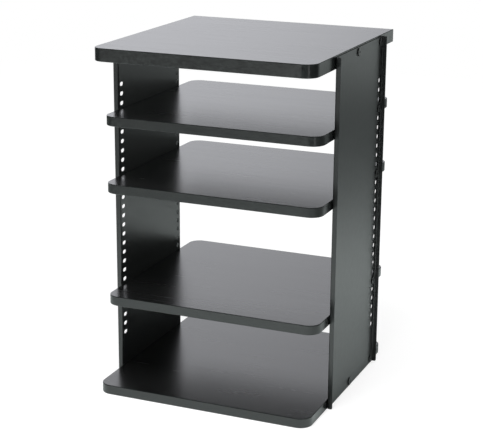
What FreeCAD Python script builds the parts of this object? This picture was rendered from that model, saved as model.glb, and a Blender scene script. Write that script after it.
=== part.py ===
"""Open audio equipment rack, in millimetres.

Two perforated sheet-steel side panels, bent into shallow channels that open outward, carry a thick top,
a base and three shelves. The origin is on the floor below the middle of the rack, +Z is up and the front
faces -Y.
"""
import FreeCAD
import Part
import math
import os

Vector = FreeCAD.Vector

# Side panels
inside_width = 444.5
panel_depth = 276.2
panel_height = 688.3
sheet = 1.5
flange_reach = 10.2
flange_corner_radius = 3.0
bend_radius = 1.5

# Hole rows for the adjustable shelves
hole_diameter = 11.1
hole_pitch = 19.05
hole_end_margin = 86.6
hole_count = int((panel_height - 2 * hole_end_margin) / hole_pitch) + 1

# Boards and their edge bands
top_thickness = 25.4
top_front_overhang = 109.6
top_rear_overhang = 73.6
top_stand = 3.2
shelf_thickness = 19.0
shelf_overhang = 69.1
base_thickness = 19.0
base_front_overhang = 107.6
base_rear_overhang = 69.1
corner_radius = 25.0
band_thickness = 2.0
edge_round = 1.2
slide_clearance = 0.15

# Places of the shelves in the hole rows, counted in holes from the top or the bottom one
upper_hole_index = 3
middle_hole_index = 10
lower_hole_index_from_bottom = 5

# Shoulder screws with low heads
head_diameter = 16.0
head_height = 3.4
head_rim = 2.6
head_bend_gap = 3.1
socket_across_flats = 4.0
socket_depth = 2.2
shoulder_clearance = 0.3
shoulder_relief = 0.2
shank_diameter = 6.0
shank_tip_length = 0.8
thread_engagement = 12.0
middle_screw_setback = 127.0

# Threaded inserts in the boards' edges
insert_wall = 2.0
insert_spare = 2.0
insert_lead_length = 0.8
insert_clearance = 0.05
thread_clearance = 0.05

# Places worked out from the sizes above
panel_middle = (top_front_overhang - top_rear_overhang) / 2
panel_front = panel_middle - panel_depth / 2
panel_rear = panel_middle + panel_depth / 2
inner_face = inside_width / 2
outer_face = inner_face + sheet
row_setback = sheet + bend_radius + head_bend_gap + head_diameter / 2
front_row = panel_front + row_setback
rear_row = panel_rear - row_setback
middle_screw = panel_front + middle_screw_setback
insert_length = thread_engagement + insert_spare
insert_diameter = shank_diameter + 2 * (thread_clearance + insert_wall)
top_upper = panel_height + top_stand
top_middle = top_upper - top_thickness / 2
base_middle = base_thickness / 2


def hole_height(index):
    """Height of a hole in the rows, counted from the top one."""
    return panel_height - hole_end_margin - index * hole_pitch


def rounded_wire(corners):
    """Closed outline in the XY plane through square corners (x, y, radius), each rounded by its arc."""
    edges = []
    ends = []
    for i, (x, y, radius) in enumerate(corners):
        corner = Vector(x, y, 0)
        back = Vector(*corners[i - 1][:2], 0).sub(corner).normalize()
        ahead = Vector(*corners[(i + 1) % len(corners)][:2], 0).sub(corner).normalize()
        start = corner + back * radius
        end = corner + ahead * radius
        ends.append((start, end))
        if radius:
            middle = corner + (back + ahead) * radius * (1 - math.sqrt(0.5))
            edges.append(Part.Arc(start, middle, end).toShape())
    for i, (start, _) in enumerate(ends):
        last_end = ends[i - 1][1]
        edges.append(Part.LineSegment(last_end, start).toShape())
    return Part.Wire(Part.__sortEdges__(edges))


def plate(corners, low, thickness):
    """Flat solid of an outline between two heights."""
    solid = Part.Face(rounded_wire(corners)).extrude(Vector(0, 0, thickness))
    solid.translate(Vector(0, 0, low))
    return solid


def cylinder_along_x(radius, start, end, y, z):
    """Round bar between two places along X."""
    return Part.makeCylinder(radius, abs(end - start), Vector(start, y, z), Vector(end - start, 0, 0))


def screw_places(heights, rows):
    """Pairs (y, z) of every screw of a board or every hole of a panel."""
    return [(y, z) for z in heights for y in rows]


def side_panel(side):
    """Channel of bent sheet with two rows of round holes and the screw holes of the top and the base.

    The flanges' tips have rounded corners at both ends.
    """
    tip = side * (inner_face + flange_reach)
    face = side * inner_face
    back = side * outer_face
    outside_bend = bend_radius + sheet
    section = [
        (face, panel_front, outside_bend),
        (tip, panel_front, 0),
        (tip, panel_front + sheet, 0),
        (back, panel_front + sheet, bend_radius),
        (back, panel_rear - sheet, bend_radius),
        (tip, panel_rear - sheet, 0),
        (tip, panel_rear, 0),
        (face, panel_rear, outside_bend),
    ]
    blank = plate(section, 0, panel_height)
    tip_corners = [
        edge for edge in blank.Edges
        if edge.BoundBox.ZLength < sheet and all(abs(end.X - tip) < sheet for end in edge.Vertexes)
    ]
    shelf_holes = screw_places([hole_height(i) for i in range(hole_count)], [front_row, rear_row])
    fixed_holes = screw_places([top_middle, base_middle], [front_row, middle_screw, rear_row])
    drills = [
        cylinder_along_x(hole_diameter / 2, face - side * sheet, back + side * sheet, y, z)
        for y, z in shelf_holes + fixed_holes
    ]
    return blank.makeFillet(flange_corner_radius, tip_corners).cut(drills)


def board_outline(half_width, front, rear, front_radius, rear_radius):
    """Corners of a board seen from above."""
    return [
        (-half_width, front, front_radius),
        (half_width, front, front_radius),
        (half_width, rear, rear_radius),
        (-half_width, rear, rear_radius),
    ]


def eased_plate(corners, low, thickness):
    """Board blank with its upper and lower edges rounded all the way round."""
    blank = plate(corners, low, thickness)
    rim = [edge for edge in blank.Edges if edge.BoundBox.ZLength < edge_round]
    return blank.makeFillet(edge_round, rim)


def insert_bores(half_width, places):
    """Drillings for the inserts in both ends of a board."""
    radius = insert_diameter / 2 + insert_clearance
    return [
        cylinder_along_x(radius, side * half_width, side * (half_width - insert_length), y, z)
        for side in (-1, 1)
        for y, z in places
    ]


def rounded_board(name, low, thickness, front, rear, half_width, places):
    """Board with four round corners and one edge band all the way round, drilled for its inserts."""
    inside = half_width - band_thickness
    core_front = front + band_thickness
    core_rear = rear - band_thickness
    core_radius = corner_radius - band_thickness
    outline = board_outline(half_width, front, rear, corner_radius, corner_radius)
    core = plate(board_outline(inside, core_front, core_rear, core_radius, core_radius), low, thickness)
    band = eased_plate(outline, low, thickness).cut(core)
    bores = insert_bores(half_width, places)
    return {
        f"{name}_board": core.cut(bores),
        f"{name}_edge_band": band.cut(bores),
    }


def top_pieces(places):
    """Top with round front corners and square rear ones: a band round front and sides, a strip behind."""
    low = top_upper - top_thickness
    front = panel_front - top_front_overhang
    rear = panel_rear + top_rear_overhang
    inside = inner_face - band_thickness
    core_front = front + band_thickness
    core_rear = rear - band_thickness
    outline = board_outline(inner_face, front, rear, corner_radius, 0)
    core_outline = board_outline(inside, core_front, core_rear, corner_radius - band_thickness, 0)
    core = plate(core_outline, low, top_thickness)
    skin = eased_plate(outline, low, top_thickness).cut(core)
    behind = Part.makeBox(2 * inner_face, band_thickness, top_thickness, Vector(-inner_face, core_rear, low))
    bores = insert_bores(inner_face, places)
    return {
        "top_board": core.cut(bores),
        "top_edge_band": skin.cut(behind).cut(bores),
        "top_rear_edge_band": skin.common(behind),
    }


def revolved(points, dome=None):
    """Solid turned about Z from (radius, height) points in order, then along the arc dome if there is one."""
    corners = [Vector(radius, 0, height) for radius, height in points]
    edges = [Part.LineSegment(a, b).toShape() for a, b in zip(corners, corners[1:])]
    if dome:
        edges.append(dome.toShape())
    edges.append(Part.LineSegment(edges[-1].Vertexes[-1].Point, corners[0]).toShape())
    return Part.Face(Part.Wire(edges)).revolve(Vector(0, 0, 0), Vector(0, 0, 1), 360)


def shoulder_screw():
    """Screw along Z with its seat at zero: a low domed head with a socket, a shoulder and a plain shank."""
    head = head_diameter / 2
    shank = shank_diameter / 2
    shoulder = hole_diameter / 2 - shoulder_clearance
    shoulder_end = -(sheet - shoulder_relief)
    tip = -(sheet + thread_engagement)
    rise = head_height - head_rim
    dome_radius = (head ** 2 + rise ** 2) / (2 * rise)
    half_turn = math.asin(head / dome_radius) / 2
    dome_middle = head_height - dome_radius * (1 - math.cos(half_turn))
    dome = Part.Arc(
        Vector(head, 0, head_rim),
        Vector(dome_radius * math.sin(half_turn), 0, dome_middle),
        Vector(0, 0, head_height),
    )
    body = revolved(
        [
            (0, tip),
            (shank - shank_tip_length, tip),
            (shank, tip + shank_tip_length),
            (shank, shoulder_end),
            (shoulder, shoulder_end),
            (shoulder, 0),
            (head, 0),
            (head, head_rim),
        ],
        dome,
    )
    corner_reach = socket_across_flats / math.sqrt(3)
    turns = [math.radians(60 * i) for i in range(7)]
    hexagon = [Vector(corner_reach * math.cos(turn), corner_reach * math.sin(turn), 0) for turn in turns]
    socket = Part.Face(Part.makePolygon(hexagon)).extrude(Vector(0, 0, head_height))
    socket.translate(Vector(0, 0, head_height - socket_depth))
    return body.cut(socket)


def threaded_insert():
    """Bush along Z from its flush outer end at zero down to its tapered inner end."""
    outside = insert_diameter / 2
    bore = shank_diameter / 2 + thread_clearance
    return revolved(
        [
            (bore, -insert_length),
            (outside - insert_lead_length, -insert_length),
            (outside, insert_lead_length - insert_length),
            (outside, 0),
            (bore, 0),
        ]
    )


def set_in_row(piece, side, x, places):
    """Copies of a piece that points along Z, turned outward along X and set at each place."""
    copies = []
    for y, z in places:
        copy = piece.copy()
        copy.rotate(Vector(0, 0, 0), Vector(0, 1, 0), 90 * side)
        copy.translate(Vector(side * x, y, z))
        copies.append(copy)
    return Part.makeCompound(copies)


def fastener_pieces(name, slack, places):
    """Screws and inserts of one board, a group on each side."""
    pieces = {}
    for word, side in (("left", -1), ("right", 1)):
        pieces[f"{name}_screws_{word}"] = set_in_row(shoulder_screw(), side, outer_face + slack, places)
        pieces[f"{name}_inserts_{word}"] = set_in_row(threaded_insert(), side, inner_face - slack, places)
    return pieces


def base_pieces(places):
    """Base on the floor between the panels."""
    return rounded_board(
        "base", 0, base_thickness, panel_front - base_front_overhang, panel_rear + base_rear_overhang,
        inner_face, places,
    )


def shelf_pieces(name, height, places):
    """Shelf that slides between the panels, with its middle at the height of its holes."""
    return rounded_board(
        name, height - shelf_thickness / 2, shelf_thickness, panel_front - shelf_overhang,
        panel_rear + shelf_overhang, inner_face - slide_clearance, places,
    )


def rack():
    """Every piece of the rack by its name."""
    pieces = {"left_side_panel": side_panel(-1), "right_side_panel": side_panel(1)}
    top_places = screw_places([top_middle], [front_row, middle_screw, rear_row])
    base_places = screw_places([base_middle], [front_row, middle_screw, rear_row])
    pieces.update(top_pieces(top_places))
    pieces.update(fastener_pieces("top", 0, top_places))
    pieces.update(base_pieces(base_places))
    pieces.update(fastener_pieces("base", 0, base_places))
    shelf_holes = {
        "upper_shelf": upper_hole_index,
        "middle_shelf": middle_hole_index,
        "lower_shelf": hole_count - 1 - lower_hole_index_from_bottom,
    }
    for name, index in shelf_holes.items():
        places = screw_places([hole_height(index)], [front_row, rear_row])
        pieces.update(shelf_pieces(name, hole_height(index), places))
        pieces.update(fastener_pieces(name, slide_clearance, places))
    return pieces


os.makedirs("parts", exist_ok=True)
for node, shape in rack().items():
    shape.exportStep(f"parts/{node}.step")
    print(node, len(shape.Solids), shape.isValid(), round(shape.Volume))
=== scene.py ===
"""Side panels, screws, finishes, light and camera of an open audio equipment rack, in metres.

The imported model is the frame. Boards, edge bands and threaded inserts keep their solids and get their
finishes here. The side panels are bent again as punched sheets, with slots in the front row and round holes
in the rear row, and the shoulder screws are turned again as smooth threaded surfaces.
"""
import bmesh
import bpy
import math
import numpy as np
from mathutils import Matrix, Vector


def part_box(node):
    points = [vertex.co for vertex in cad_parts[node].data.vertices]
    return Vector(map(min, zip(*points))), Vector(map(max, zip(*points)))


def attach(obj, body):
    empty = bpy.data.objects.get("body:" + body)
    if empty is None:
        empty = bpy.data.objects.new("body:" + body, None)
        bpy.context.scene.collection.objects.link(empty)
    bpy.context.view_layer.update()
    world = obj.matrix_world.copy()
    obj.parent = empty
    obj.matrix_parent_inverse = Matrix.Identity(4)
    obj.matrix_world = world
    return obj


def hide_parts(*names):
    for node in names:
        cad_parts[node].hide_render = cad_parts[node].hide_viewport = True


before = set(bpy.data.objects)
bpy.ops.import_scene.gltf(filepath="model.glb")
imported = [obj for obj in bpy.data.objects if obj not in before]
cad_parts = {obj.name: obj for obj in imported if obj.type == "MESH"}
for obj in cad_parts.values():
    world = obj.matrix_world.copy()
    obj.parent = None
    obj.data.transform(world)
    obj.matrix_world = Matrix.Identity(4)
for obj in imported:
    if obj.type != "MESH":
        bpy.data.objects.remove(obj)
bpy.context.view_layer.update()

quarter_turn = math.pi / 2
full_turn = 2 * math.pi

# Meshes: points this near become one, places are rounded to so many digits that equal ones meet, and an
# edge is sharp where the surface turns by more than the angle
merge_distance = 1e-7
place_digits = 8
crease_angle = math.radians(30)

# Boards of the rack with the bodies that carry them, and the direction of each side along X
board_bodies = {
    "top": "frame",
    "base": "frame",
    "upper_shelf": "upper_shelf",
    "middle_shelf": "middle_shelf",
    "lower_shelf": "lower_shelf",
}
boards_with_middle_screw = ("top", "base")
sides = {"left": -1, "right": 1}

# Side panels; a hole's size is its length and its height
sheet = 0.0015
bend_radius = 0.003
bend_steps = 7
tip_corner_radius = 0.003
tip_corner_steps = 6
tip_fade = 0.019
hole_pitch = 0.01905
hole_end_margin = 0.0866
slot_size = (0.0140, 0.0080)
round_hole_size = (0.0100, 0.0100)
punch_reach = 0.0095
punch_steps = 6

# Shoulder screws
seat_depth = 0.0034
head_height = 0.0022
head_rim = 0.0021
rim_round = 0.0005
dome_steps = 9
socket_across_flats = 0.004
socket_depth = 0.0014
socket_chamfer = 0.0003
shoulder_radius = 0.0038
shoulder_length = 0.0013
shank_radius = 0.003
shank_tip = 0.0008
thread_pitch = 0.001
thread_depth = 0.00045
thread_steps = 6
screw_steps = 48
middle_screw_setback = 0.127

# Patterns of the finishes: how fine their noise goes, and the middle of its range, over which the two ends
# of a finish are spread
colour_detail = 3
relief_detail = 4
pattern_middle = (0.3, 0.7)

# Floor: white to the camera, a little less so near the rack, where a grey paper takes the shadow
floor_radius = 4.6
floor_middle = (-0.3, -1.2, -0.0005)
floor_corners = 64
near_distance = 0.4
near_white = 0.80
far_distance = 2.0
far_white = 0.97
shadow_paper = (0.30, 0.30, 0.30)

# Studio round the rack. A bright place has a direction, and the cosines of the angles from it at which the
# light begins and is full. Its heights are sines of the elevation at which the light ends and is full.
paper_colour = (0.86, 0.935, 0.92)
ambient_level = 0.08
room_level = 0.05
screen_colour = (0.94, 0.95, 1.0)
screen_level = 1.50
screen_direction = (-0.64, 0.76, 0.27)
screen_cosines = (0.78, 0.985)
screen_heights = (0.65, 0.45)
glow_level = 0.70
glow_direction = (0.138, 0.985, -0.105)
glow_cosines = (0.9135, 0.978)
glow_heights = (0.05, -0.03)
patch_level = 0.70
patch_direction = (0.588, 0.809, 0.02)
patch_cosines = (0.962, 0.992)

# Camera; the lens and the sensor are in millimetres
camera_place = (1.0598, -2.5337, 1.1274)
camera_turn = math.radians(22.921)
camera_tilt = math.radians(16.298)
camera_roll = math.radians(0.378)
camera_lens = 106.01
camera_sensor = 36


def grid_quads(rows, columns):
    """Faces of a grid of points stored row by row, whose columns close into a ring."""
    row = np.arange(rows - 1)[:, None] * columns
    here = np.arange(columns)[None, :]
    beside = (here + 1) % columns
    corners = [row + here, row + beside, row + columns + beside, row + columns + here]
    return np.stack(corners, axis=2).reshape(-1, 4)


def surface_mesh(name, points, faces):
    """Smooth mesh of points and faces, with doubles merged, faces turned outward and creases sharp."""
    mesh = bpy.data.meshes.new(name)
    mesh.from_pydata(points.reshape(-1, 3), [], faces)
    shape = bmesh.new()
    shape.from_mesh(mesh)
    bmesh.ops.remove_doubles(shape, verts=shape.verts, dist=merge_distance)
    bmesh.ops.dissolve_degenerate(shape, edges=shape.edges, dist=merge_distance)
    bmesh.ops.recalc_face_normals(shape, faces=shape.faces)
    shape.to_mesh(mesh)
    shape.free()
    mesh.shade_smooth()
    mesh.set_sharp_from_angle(angle=crease_angle)
    return mesh


def new_piece(name, mesh, finish, body):
    """Object of a mesh with its finish, riding on its body."""
    piece = bpy.data.objects.new(name, mesh)
    bpy.context.scene.collection.objects.link(piece)
    mesh.materials.append(finish)
    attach(piece, body)
    return piece


def channel(box):
    """Lengthwise middle of a side panel, and half the lengths of its flat web and of its unbent sheet."""
    low, high = box
    middle = (low.y + high.y) / 2
    web_half = (high.y - low.y) / 2 - bend_radius
    blank_half = web_half + bend_radius * quarter_turn + (high.x - low.x) - bend_radius
    return middle, web_half, blank_half


def fold(across, height, depth, box, side):
    """Points of a sheet bent into a channel that is open on the outer side of the rack.

    Across runs over the unbent sheet and is the lengthwise place in the web. Past each end of the web the
    sheet turns by angle = distance / radius, up to a quarter turn, and then runs straight outward. On the
    bend it goes outward by radius times 1 - cos angle and lengthwise by radius times sin angle. Depth is how
    far a point lies inside the sheet, measured from the skin that faces the shelves.
    """
    low, high = box
    middle, web_half, _ = channel(box)
    past = np.maximum(np.abs(across - middle) - web_half, 0)
    angle = np.minimum(past / bend_radius, quarter_turn)
    straight = np.maximum(past - bend_radius * quarter_turn, 0)
    inner_face = min(abs(low.x), abs(high.x))
    outward = inner_face + bend_radius - (bend_radius - depth) * np.cos(angle) + straight
    turned = np.sign(across - middle) * (bend_radius - depth) * np.sin(angle)
    lengthwise = np.clip(across, middle - web_half, middle + web_half) + turned
    return np.stack(np.broadcast_arrays(side * outward, lengthwise, height), axis=-1)


def panel_holes(word, box):
    """Places, sizes and reaches of a side panel's holes.

    A place is the middle of a hole, lengthwise and upright. A reach is how far the hole's cell goes to each
    side of it: half a pitch upright, or less near the ends of the panel. The front and rear rows pass
    through the outer screws.
    """
    low, high = box
    screws = [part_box(f"{board}_screws_{word}") for board in boards_with_middle_screw]
    screw_low, screw_high = screws[0]
    head_radius = (screw_high.z - screw_low.z) / 2
    front_row = screw_low.y + head_radius
    rear_row = screw_high.y - head_radius
    middle_row = low.y + middle_screw_setback
    fixed_heights = [(bottom.z + top.z) / 2 for bottom, top in screws]
    shelf_heights = np.arange(high.z - hole_end_margin, hole_end_margin - hole_pitch / 2, -hole_pitch)
    row_heights = [*shelf_heights, *fixed_heights]
    holes = [(front_row, height, *slot_size) for height in row_heights]
    holes += [(rear_row, height, *round_hole_size) for height in row_heights]
    holes += [(middle_row, height, *round_hole_size) for height in fixed_heights]
    places, sizes = np.split(np.array(holes), 2, axis=1)
    to_end = np.minimum(places[:, 1] - low.z, high.z - places[:, 1])
    reaches = np.stack([0 * to_end + punch_reach, np.minimum(to_end, hole_pitch / 2)], axis=1)
    return places, sizes, reaches


def punch_rings(places, sizes, reaches):
    """Rings of points round the cells of all holes, and rings of as many points round the holes in them.

    A cell's points go evenly along its four sides, from its first corner on. The hole's points turn with
    them round a circle as wide as the hole is high, whose two halves are moved apart by the rest of the
    hole's length.
    """
    turns = np.arange(4 * punch_steps) / punch_steps
    corner = turns.astype(int)
    corners = np.array([(-1, -1), (1, -1), (1, 1), (-1, 1), (-1, -1)])
    square = corners[corner] + (corners[corner + 1] - corners[corner]) * (turns - corner)[:, None]
    first_corner = 1.5
    angle = (turns - first_corner) * quarter_turn
    circle = np.stack([np.cos(angle), np.sin(angle)], axis=1)
    apart = np.stack([np.sign(np.round(circle[:, 0], place_digits)), 0 * angle], axis=1)
    length, height = sizes[:, None, :1], sizes[:, None, 1:]
    holes = height / 2 * circle + (length - height) / 2 * apart
    return places[:, None] + reaches[:, None] * square, places[:, None] + holes


def sheet_lines(box, places, reaches):
    """Places across an unbent sheet and heights on it that the lines of its grid run through.

    There are lines at even turns of the bends and of the rounded corners at the flanges' tips, and at even
    steps through the cells of the holes.
    """
    low, high = box
    middle, web_half, blank_half = channel(box)
    bend_lines = web_half + bend_radius * np.linspace(0, quarter_turn, bend_steps)
    tip_turns = np.linspace(0, quarter_turn, tip_corner_steps)
    tip_lines = blank_half - tip_corner_radius * (1 - np.cos(tip_turns))
    edge_lines = np.concatenate([bend_lines, tip_lines])
    steps = np.linspace(-1, 1, punch_steps + 1)
    cell_lines = places[:, None] + reaches[:, None] * steps[:, None]
    lines_across = [middle - edge_lines, middle + edge_lines, cell_lines[..., 0].ravel()]
    lines_up = [cell_lines[..., 1].ravel(), (low.z, high.z)]
    across = np.unique(np.round(np.concatenate(lines_across), place_digits))
    heights = np.unique(np.round(np.concatenate(lines_up), place_digits))
    return across, heights


def rounded_heights(across, heights, box):
    """Heights of all points of a sheet's grid, with the corners at the flanges' tips rounded.

    At a distance e from a tip the sheet ends r - sqrt(r^2 - (r - e)^2) earlier at the top and the bottom,
    and further in this shift fades evenly to nothing.
    """
    low, high = box
    middle, _, blank_half = channel(box)
    from_tip = np.clip(blank_half - np.abs(across - middle), 0, tip_corner_radius)
    lost = tip_corner_radius - np.sqrt(tip_corner_radius ** 2 - (tip_corner_radius - from_tip) ** 2)
    half_height = (high.z - low.z) / 2
    from_middle = heights[:, None] - low.z - half_height
    share = np.clip((np.abs(from_middle) - half_height) / tip_fade + 1, 0, 1)
    return heights[:, None] - np.sign(from_middle) * share * lost


def panel_mesh(word, side):
    """Side panel as one closed shell: both skins of the sheet, its outline and the walls of its holes.

    A grid over the unbent sheet leaves out the cells of the holes, rings of points fill these, and fold
    bends all of it. The four rings of a hole go from the cell to the hole, through the sheet, and back to
    the cell on the other skin.
    """
    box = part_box(f"{word}_side_panel")
    places, sizes, reaches = panel_holes(word, box)
    across, heights = sheet_lines(box, places, reaches)
    grid_heights = rounded_heights(across, heights, box)
    skins = [fold(across[None], grid_heights, depth, box, side) for depth in (0, sheet)]

    index = np.arange(grid_heights.size).reshape(grid_heights.shape)
    quads = np.stack([index[:-1, :-1], index[:-1, 1:], index[1:, 1:], index[1:, :-1]], axis=2)
    middles = np.meshgrid((across[1:] + across[:-1]) / 2, (heights[1:] + heights[:-1]) / 2)
    from_holes = np.abs(np.stack(middles, axis=-1)[:, :, None] - places)
    punched = (from_holes < reaches).all(axis=3).any(axis=2)
    skin_quads = quads[~punched]
    borders = [index[0], index[-1], index[:, 0], index[:, -1]]
    rims = [np.stack([b[:-1], b[1:], b[1:] + index.size, b[:-1] + index.size], axis=1) for b in borders]

    cells, punches = punch_rings(places, sizes, reaches)
    rings = np.stack([cells, punches, punches, cells], axis=1)
    ring_depths = np.array([0, 0, sheet, sheet])[:, None]
    ring_points = fold(rings[..., 0], rings[..., 1], ring_depths, box, side)
    rows, columns = ring_depths.size, cells.shape[1]
    starts = 2 * index.size + np.arange(len(places))[:, None, None] * rows * columns
    ring_quads = (grid_quads(rows, columns)[None] + starts).reshape(-1, 4)
    points = np.concatenate([part.reshape(-1, 3) for part in (*skins, ring_points)])
    faces = np.concatenate([skin_quads, skin_quads + index.size, *rims, ring_quads])
    return surface_mesh(f"{word}_panel_sheet", points, faces)


def side_panels(finish):
    """Both side panels, on the frame."""
    for word, side in sides.items():
        piece = new_piece(f"{word}_panel_sheet", panel_mesh(word, side), finish, "frame")
        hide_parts(f"{word}_side_panel")


def screw_surface(head_radius, shank_length):
    """Screw along Z with its seat at zero, as rows of points round its axis.

    Row i has radius r(i) and height h(i), and says whether it is in the socket or in the thread. In the
    socket the radius follows a hexagon, cos 30 / cos(turn mod 60 - 30) times its corner reach. In the
    thread it loses depth times a triangle wave of height / pitch - turn / 360, which winds the groove round
    the shank.
    """
    turns = np.arange(screw_steps) * full_turn / screw_steps
    thread_top = -shoulder_length - thread_pitch
    thread_end = shank_tip - shank_length
    thread_rows = int((thread_top - thread_end) / thread_pitch * thread_steps)
    thread_heights = np.linspace(thread_end, thread_top, thread_rows)
    rise = head_height - head_rim
    dome_radius = (head_radius ** 2 + rise ** 2) / (2 * rise)
    socket_reach = socket_across_flats / math.sqrt(3)
    dome_start = math.asin((head_radius - rim_round) / dome_radius)
    dome_end = math.asin((socket_reach + socket_chamfer) / dome_radius)
    dome_turns = np.linspace(dome_start, dome_end, dome_steps)
    dome_radii = dome_radius * np.sin(dome_turns)
    dome_heights = head_height - dome_radius * (1 - np.cos(dome_turns))
    socket_floor = head_height - socket_depth
    tip = [
        (0, -shank_length, 0, 0),
        (shank_radius - shank_tip, -shank_length, 0, 0),
    ]
    thread = [(shank_radius, height, 0, 1) for height in thread_heights]
    shoulder_and_rim = [
        (shank_radius - thread_depth, -shoulder_length, 0, 0),
        (shoulder_radius, -shoulder_length, 0, 0),
        (shoulder_radius, 0, 0, 0),
        (head_radius - rim_round / 2, 0, 0, 0),
        (head_radius, rim_round / 2, 0, 0),
        (head_radius, head_rim - rim_round / 2, 0, 0),
    ]
    dome = [(radius, height, 0, 0) for radius, height in zip(dome_radii, dome_heights)]
    socket = [
        (socket_reach, dome_heights[-1] - socket_chamfer / 2, 1, 0),
        (socket_reach, socket_floor, 1, 0),
        (0, socket_floor - socket_chamfer, 1, 0),
    ]
    rows = np.array(tip + thread + shoulder_and_rim + dome + socket)
    radius, height, hexagonal, threaded = (rows[:, k, None] for k in range(4))
    sixth = math.pi / 3
    hexagon = math.cos(sixth / 2) / np.cos(turns % sixth - sixth / 2)[None, :]
    wave = height / thread_pitch - turns[None, :] / full_turn
    groove = np.abs(2 * (wave % 1) - 1)
    reach = radius * (1 + hexagonal * (hexagon - 1)) - threaded * thread_depth * groove
    points = np.stack([reach * np.cos(turns), reach * np.sin(turns), height + 0 * turns], axis=2)
    return points, grid_quads(len(rows), len(turns))


def screw_groups(finish):
    """Screws of every board and side, turned outward along X and set in one piece for each group."""
    panel_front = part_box("right_side_panel")[0].y
    for board, body in board_bodies.items():
        for word, side in sides.items():
            packed = f"{board}_screws_{word}"
            low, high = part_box(packed)
            head_radius = (high.z - low.z) / 2
            seat = max(abs(low.x), abs(high.x)) - seat_depth
            points, faces = screw_surface(head_radius, high.x - low.x - seat_depth)
            outward = np.stack([side * points[..., 2], points[..., 1], -side * points[..., 0]], axis=-1)
            lengthwise = [low.y + head_radius, high.y - head_radius]
            if board in boards_with_middle_screw:
                lengthwise.append(panel_front + middle_screw_setback)
            places = np.array([(side * seat, y, (low.z + high.z) / 2) for y in lengthwise])
            copies = outward.reshape(1, -1, 3) + places[:, None, :]
            starts = np.arange(len(places))[:, None, None] * points[..., 0].size
            mesh = surface_mesh(packed, copies, (faces[None] + starts).reshape(-1, 4))
            piece = new_piece(f"{board}_shoulder_screws_{word}", mesh, finish, body)
            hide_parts(packed)


def node(tree, kind, inputs, **settings):
    """New shader node with its settings; an input is a value, or an output that gets linked to it."""
    made = tree.nodes.new(kind)
    for name, setting in settings.items():
        setattr(made, name, setting)
    for name, value in inputs.items():
        if isinstance(value, bpy.types.NodeSocket):
            tree.links.new(value, made.inputs[name])
        else:
            made.inputs[name].default_value = value
    return made


def noise(tree, waves, detail):
    """Noise over the piece's own coordinates with so many waves per metre along each axis."""
    place = node(tree, "ShaderNodeTexCoord", {}).outputs["Object"]
    scaled = node(tree, "ShaderNodeMapping", {"Vector": place, "Scale": waves}).outputs["Vector"]
    return node(tree, "ShaderNodeTexNoise", {"Vector": scaled, "Scale": 1, "Detail": detail}).outputs["Fac"]


def ramp(tree, value, start, end, low, high):
    """Number that eases from low to high while a value goes from start to end."""
    ends = {"From Min": start, "From Max": end, "To Min": low, "To Max": high}
    made = node(tree, "ShaderNodeMapRange", {"Value": value, **ends}, interpolation_type="SMOOTHSTEP")
    return made.outputs["Result"]


def tint(tree, value, start, end, low, high):
    """Colour that goes from low to high while a value goes from start to end."""
    made = node(tree, "ShaderNodeValToRGB", {"Fac": value})
    for stop, place, colour in zip(made.color_ramp.elements, (start, end), (low, high)):
        stop.position = place
        stop.color = (*colour, 1)
    return made.outputs["Color"]


def arithmetic(tree, operation, first, second):
    """Result of a sum, a product or another operation on two numbers."""
    return node(tree, "ShaderNodeMath", {0: first, 1: second}, operation=operation).outputs["Value"]


def choose(tree, factor, off, on):
    """Number that is off where the factor is 0 and on where it is 1."""
    return node(tree, "ShaderNodeMix", {"Factor": factor, "A": off, "B": on}).outputs["Result"]


def finish(
    name,
    colour_waves,
    dark,
    light,
    gloss_waves,
    smooth,
    rough,
    relief_waves,
    relief_depth,
    refraction,
    metal=0,
):
    """Material of one finish, from three patterns given by their waves per metre along each axis.

    The colour goes from dark to light, the roughness from smooth to rough, and the relief stands up from
    the surface by a depth in metres.
    """
    made = bpy.data.materials.new(name)
    made.use_nodes = True
    tree = made.node_tree
    shader = tree.nodes["Principled BSDF"]
    raised = noise(tree, relief_waves, relief_detail)
    bump = node(tree, "ShaderNodeBump", {"Strength": 1, "Distance": relief_depth, "Height": raised})
    colour = tint(tree, noise(tree, colour_waves, colour_detail), *pattern_middle, dark, light)
    roughness = ramp(tree, noise(tree, gloss_waves, colour_detail), *pattern_middle, smooth, rough)
    tree.links.new(bump.outputs["Normal"], shader.inputs["Normal"])
    tree.links.new(colour, shader.inputs["Base Color"])
    tree.links.new(roughness, shader.inputs["Roughness"])
    shader.inputs["IOR"].default_value = refraction
    shader.inputs["Metallic"].default_value = metal
    return made


def laminate_finish():
    """Black laminate with fine pores along the boards' width and a faintly streaked gloss."""
    return finish(
        "black_laminate",
        colour_waves=(18, 700, 700),
        dark=(0.0035, 0.0035, 0.0035),
        light=(0.0060, 0.0060, 0.0062),
        gloss_waves=(4, 90, 90),
        smooth=0.261,
        rough=0.274,
        relief_waves=(18, 700, 700),
        relief_depth=0.000001,
        refraction=1.7,
    )


def edge_band_finish():
    """Black plastic edging with a half gloss, a fine upright grain and a faint cloudy mottle."""
    return finish(
        "black_edging",
        colour_waves=(150, 150, 210),
        dark=(0.0010, 0.0013, 0.0013),
        light=(0.0130, 0.0150, 0.0145),
        gloss_waves=(600, 600, 60),
        smooth=0.22,
        rough=0.27,
        relief_waves=(700, 700, 60),
        relief_depth=0.000003,
        refraction=1.63,
    )


def panel_finish():
    """Satin black powder coat with a fine orange peel."""
    return finish(
        "black_powder_coat",
        colour_waves=(90, 90, 90),
        dark=(0.010, 0.011, 0.011),
        light=(0.014, 0.015, 0.015),
        gloss_waves=(90, 90, 90),
        smooth=0.285,
        rough=0.315,
        relief_waves=(900, 900, 900),
        relief_depth=0.000003,
        refraction=1.66,
    )


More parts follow.
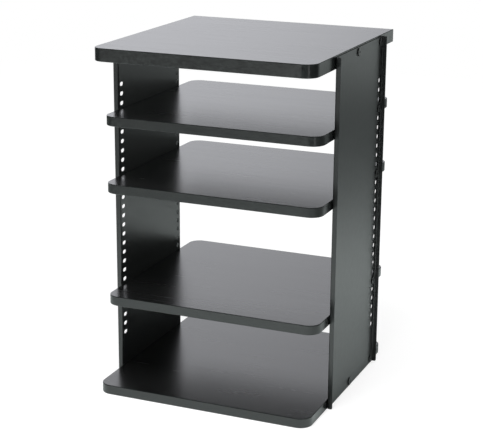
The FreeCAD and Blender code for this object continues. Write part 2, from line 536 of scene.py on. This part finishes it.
def screw_finish():
    """Blackened steel with a soft shine."""
    return finish(
        "blackened_steel",
        colour_waves=(1500, 1500, 1500),
        dark=(0.006, 0.006, 0.006),
        light=(0.010, 0.010, 0.010),
        gloss_waves=(1500, 1500, 1500),
        smooth=0.26,
        rough=0.32,
        relief_waves=(2500, 2500, 2500),
        relief_depth=0.000002,
        refraction=1.65,
    )


def insert_finish():
    """Turned brass with fine tool marks."""
    return finish(
        "turned_brass",
        colour_waves=(3000, 400, 400),
        dark=(0.55, 0.38, 0.14),
        light=(0.68, 0.50, 0.22),
        gloss_waves=(3000, 400, 400),
        smooth=0.22,
        rough=0.36,
        relief_waves=(3000, 200, 200),
        relief_depth=0.000003,
        refraction=1.5,
        metal=1,
    )


def finish_frame_nodes(finishes):
    """Gives every shown node of the frame the finish of its material slot."""
    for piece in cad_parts.values():
        for holder in piece.material_slots:
            slot = holder.material.name.split(".")[0]
            if slot in finishes:
                holder.material = finishes[slot]


def seen_rays(tree):
    """Two numbers that are 1 for what the camera sees, also through clear pieces, and for reflections."""
    path = node(tree, "ShaderNodeLightPath", {}).outputs
    straight = arithmetic(tree, "MAXIMUM", path["Is Camera Ray"], path["Is Transmission Ray"])
    return straight, path["Is Glossy Ray"]


def floor_finish():
    """White paper that the camera sees as white with a faint shadow, and reflections as it is lit."""
    made = bpy.data.materials.new("white_paper")
    made.use_nodes = True
    tree = made.node_tree
    tree.nodes.remove(tree.nodes["Principled BSDF"])
    straight, _ = seen_rays(tree)
    place = node(tree, "ShaderNodeTexCoord", {}).outputs["Object"]
    distance = node(tree, "ShaderNodeVectorMath", {0: place}, operation="LENGTH").outputs["Value"]
    white = ramp(tree, distance, near_distance, far_distance, near_white, far_white)
    colour = tint(tree, straight, 0, 1, paper_colour, shadow_paper)
    glow = arithmetic(tree, "MULTIPLY", straight, white)
    paper = node(tree, "ShaderNodeBsdfDiffuse", {"Color": colour}).outputs["BSDF"]
    light = node(tree, "ShaderNodeEmission", {"Strength": glow}).outputs["Emission"]
    both = node(tree, "ShaderNodeAddShader", {0: paper, 1: light}).outputs["Shader"]
    tree.links.new(both, tree.nodes["Material Output"].inputs["Surface"])
    return made


def make_floor():
    """Round white floor just under the rack."""
    turns = np.arange(floor_corners) * full_turn / floor_corners
    rim = floor_radius * np.stack([np.cos(turns), np.sin(turns), 0 * turns], axis=1) + floor_middle
    mesh = bpy.data.meshes.new("floor")
    mesh.from_pydata(rim, [], [list(range(floor_corners))])
    mesh.materials.append(floor_finish())
    floor = bpy.data.objects.new("floor", mesh)
    bpy.context.scene.collection.objects.link(floor)


def make_world():
    """Studio round the rack: white to the camera and an even dim light to dull surfaces.

    Reflections see a dim room with three bright places behind the rack: a screen on the left, a low glow a
    little to the right, and a small patch further right near the horizon.
    """
    world = bpy.data.worlds.new("studio")
    bpy.context.scene.world = world
    world.use_nodes = True
    tree = world.node_tree
    straight, glossy = seen_rays(tree)
    direction = node(tree, "ShaderNodeTexCoord", {}).outputs["Generated"]

    def nearness(place):
        """Cosine of the angle between the looking direction and a place."""
        ends = {0: direction, 1: Vector(place).normalized()}
        return node(tree, "ShaderNodeVectorMath", ends, operation="DOT_PRODUCT").outputs["Value"]

    def background(colour, strength):
        """Light of one colour from all round."""
        return node(tree, "ShaderNodeBackground", {"Color": (*colour, 1), "Strength": strength}).outputs[0]

    height = nearness((0, 0, 1))
    rear_left = ramp(tree, nearness(screen_direction), *screen_cosines, 0, screen_level)
    rear_right = ramp(tree, nearness(glow_direction), *glow_cosines, 0, glow_level)
    screen = arithmetic(tree, "MULTIPLY", rear_left, ramp(tree, height, *screen_heights, 0, 1))
    low_glow = arithmetic(tree, "MULTIPLY", rear_right, ramp(tree, height, *glow_heights, 0, 1))
    far_right = ramp(tree, nearness(patch_direction), *patch_cosines, 0, patch_level)
    glow = arithmetic(tree, "ADD", low_glow, far_right)
    mirrored = arithmetic(tree, "ADD", glow, room_level)
    room = choose(tree, straight, choose(tree, glossy, ambient_level, mirrored), 0)
    shown_screen = arithmetic(tree, "MULTIPLY", screen, glossy)
    dim = background(paper_colour, room)
    lit = node(tree, "ShaderNodeAddShader", {0: dim, 1: background(screen_colour, shown_screen)}).outputs[0]
    whole = node(tree, "ShaderNodeAddShader", {0: lit, 1: background((1, 1, 1), straight)}).outputs[0]
    tree.links.new(whole, tree.nodes["World Output"].inputs["Surface"])
    tree.nodes.remove(tree.nodes["Background"])


def soft_box(name, place, aim, width, height, power, mirrored):
    """Rectangular soft light that faces a point, unseen by the camera and mirrored in the rack or not."""
    lamp = bpy.data.lights.new(name, "AREA")
    lamp.shape = "RECTANGLE"
    lamp.size = width
    lamp.size_y = height
    lamp.energy = power
    holder = bpy.data.objects.new(name, lamp)
    holder.location = place
    holder.rotation_euler = (Vector(aim) - Vector(place)).to_track_quat("-Z", "Y").to_euler()
    holder.visible_camera = False
    holder.visible_glossy = mirrored
    bpy.context.scene.collection.objects.link(holder)


def floor_light(name, x, y, height, width, length, power):
    """Soft light that hangs over the floor, faces straight down and is not mirrored in the rack."""
    soft_box(name, (x, y, height), (x, y, 0), width, length, power, mirrored=False)


def standing_light(name, x, y, height, aim, width, length, power):
    """Soft light that stands upright, faces a place on the floor plan and is mirrored in the rack."""
    soft_box(name, (x, y, height), (*aim, height), width, length, power, mirrored=True)


def make_lights():
    """Lights over the floor in front and behind, and a screen and two strips that stand in front."""
    floor_light("front_light", x=-0.15, y=-0.8, height=2.0, width=1.2, length=1.2, power=41)
    floor_light("near_light", x=0.0, y=-0.5, height=1.0, width=0.5, length=0.4, power=4.4)
    floor_light("rear_light", x=0.36, y=0.71, height=0.95, width=0.5, length=0.5, power=5.5)
    rack_middle = (0, 0)
    rack_front = (0.2, -0.2)
    standing_light(
        "front_left_screen", x=-1.45, y=-2.2, height=0.4, aim=rack_middle, width=1.3, length=0.8, power=1.4
    )
    standing_light(
        "front_left_strip", x=-0.62, y=-2.5, height=0.35, aim=rack_front, width=0.16, length=0.6, power=0.6
    )
    standing_light(
        "front_right_strip", x=1.63, y=-1.9, height=0.5, aim=rack_front, width=0.2, length=1.0, power=1.5
    )


def make_camera():
    """Camera at the photograph's viewing angle, turned about its place and without shift."""
    lens = bpy.data.cameras.new("camera")
    lens.lens = camera_lens
    lens.sensor_width = camera_sensor
    camera = bpy.data.objects.new("camera", lens)
    turn = Matrix.Rotation(camera_turn, 4, "Z")
    tilt = Matrix.Rotation(quarter_turn - camera_tilt, 4, "X")
    roll = Matrix.Rotation(camera_roll, 4, "Z")
    camera.matrix_world = Matrix.Translation(camera_place) @ turn @ tilt @ roll
    bpy.context.scene.collection.objects.link(camera)
    bpy.context.scene.camera = camera


finish_frame_nodes(
    {
        "board_laminate": laminate_finish(),
        "edge_band": edge_band_finish(),
        "insert_metal": insert_finish(),
    }
)
side_panels(panel_finish())
screw_groups(screw_finish())
make_floor()
make_world()
make_lights()
make_camera()
bpy.context.scene.view_settings.view_transform = "Standard"
